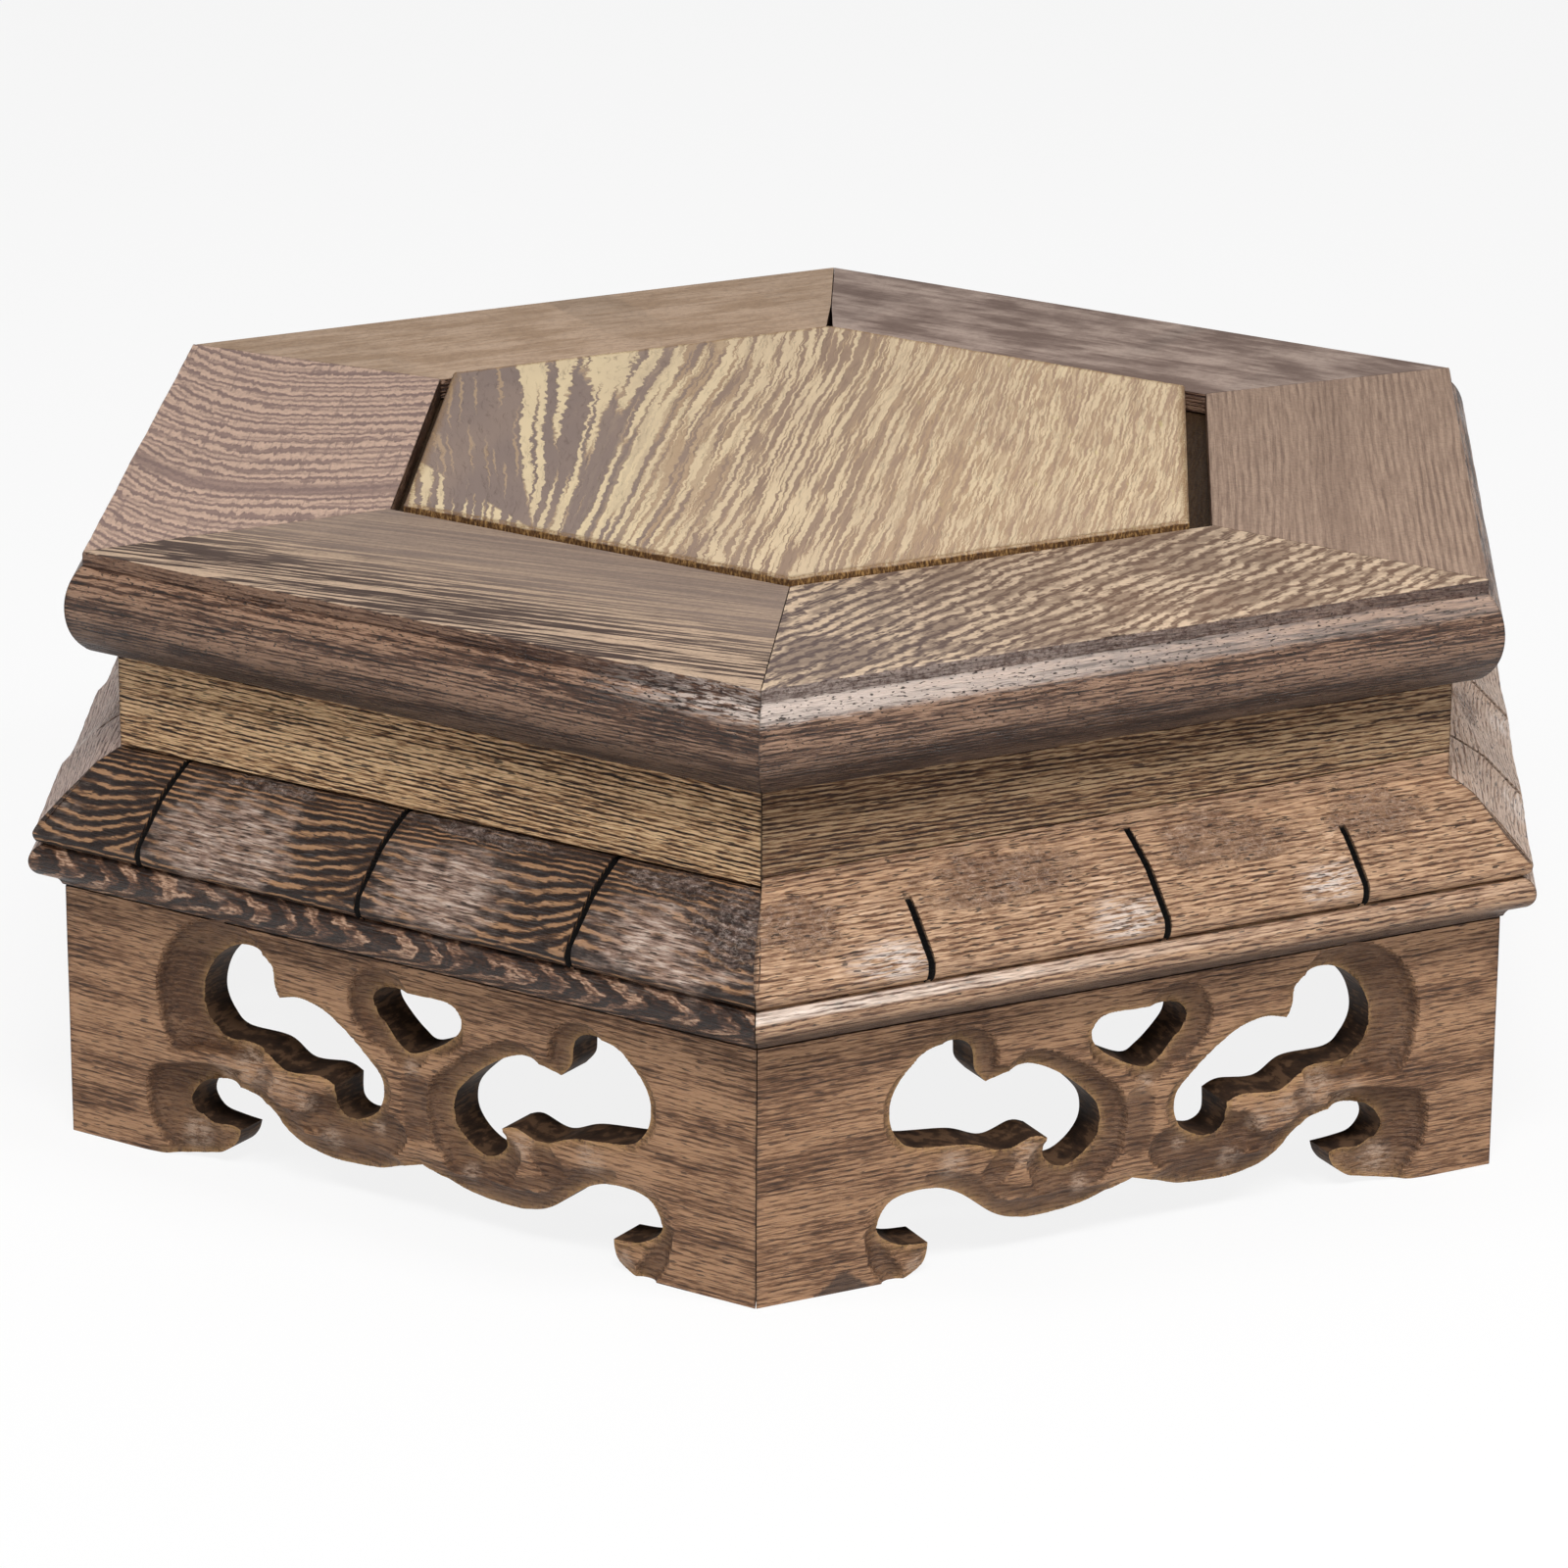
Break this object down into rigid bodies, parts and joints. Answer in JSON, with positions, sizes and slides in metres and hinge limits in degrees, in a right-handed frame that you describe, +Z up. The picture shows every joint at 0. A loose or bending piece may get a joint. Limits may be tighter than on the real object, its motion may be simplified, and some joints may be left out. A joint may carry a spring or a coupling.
{
  "type": "wooden plant stand",
  "caption": "Low hexagonal display stand with a mitred frame and floating panel, a waist, a notched shoulder moulding and pierced scroll aprons that form the feet.",
  "frame": {"origin": "on the floor, on the stand's upright axis, midway between its opposite sides", "axes": "+Z up from the feet to the top panel; +Y through a corner to the opposite corner, the long way; -Y is the front corner; +X faces a flat side"},
  "size_m": [0.185, 0.2134, 0.0758],
  "materials": {
    "striped_panel": "matt, straw and grey-brown stripes",
    "frame_wood": "matt on top, waxed satin on the rounded edge",
    "waist_wood": "matt, golden tan",
    "shoulder_wood": "waxed satin with torn grain",
    "apron_wood": "waxed satin, carved",
    "inner_wood": "unfinished",
    "brass_screw": "dull"
  },
  "bodies": {
    "root": {"top_panel": "striped_panel", "top_rail_right": "frame_wood", "top_rail_back_right": "frame_wood", "top_rail_back_left": "frame_wood", "top_rail_left": "frame_wood", "top_rail_front_left": "frame_wood", "top_rail_front_right": "frame_wood", "waist_board_right": "waist_wood", "waist_board_back_right": "waist_wood", "waist_board_back_left": "waist_wood", "waist_board_left": "waist_wood", "waist_board_front_left": "waist_wood", "waist_board_front_right": "waist_wood", "shoulder_moulding_right": "shoulder_wood", "shoulder_moulding_back_right": "shoulder_wood", "shoulder_moulding_back_left": "shoulder_wood", "shoulder_moulding_left": "shoulder_wood", "shoulder_moulding_front_left": "shoulder_wood", "shoulder_moulding_front_right": "shoulder_wood", "apron_right": "apron_wood", "apron_back_right": "apron_wood", "apron_back_left": "apron_wood", "apron_left": "apron_wood", "apron_front_left": "apron_wood", "apron_front_right": "apron_wood", "mitre_spline_front_right": "inner_wood", "mitre_spline_back_right": "inner_wood", "mitre_spline_back": "inner_wood", "mitre_spline_back_left": "inner_wood", "mitre_spline_front_left": "inner_wood", "mitre_spline_front": "inner_wood", "glue_block_front_right": "inner_wood", "glue_block_back_right": "inner_wood", "glue_block_back": "inner_wood", "glue_block_back_left": "inner_wood", "glue_block_front_left": "inner_wood", "glue_block_front": "inner_wood", "wood_screw_right": "brass_screw", "wood_screw_back_right": "brass_screw", "wood_screw_back_left": "brass_screw", "wood_screw_left": "brass_screw", "wood_screw_front_left": "brass_screw", "wood_screw_front_right": "brass_screw"}
  },
  "joints": []
}
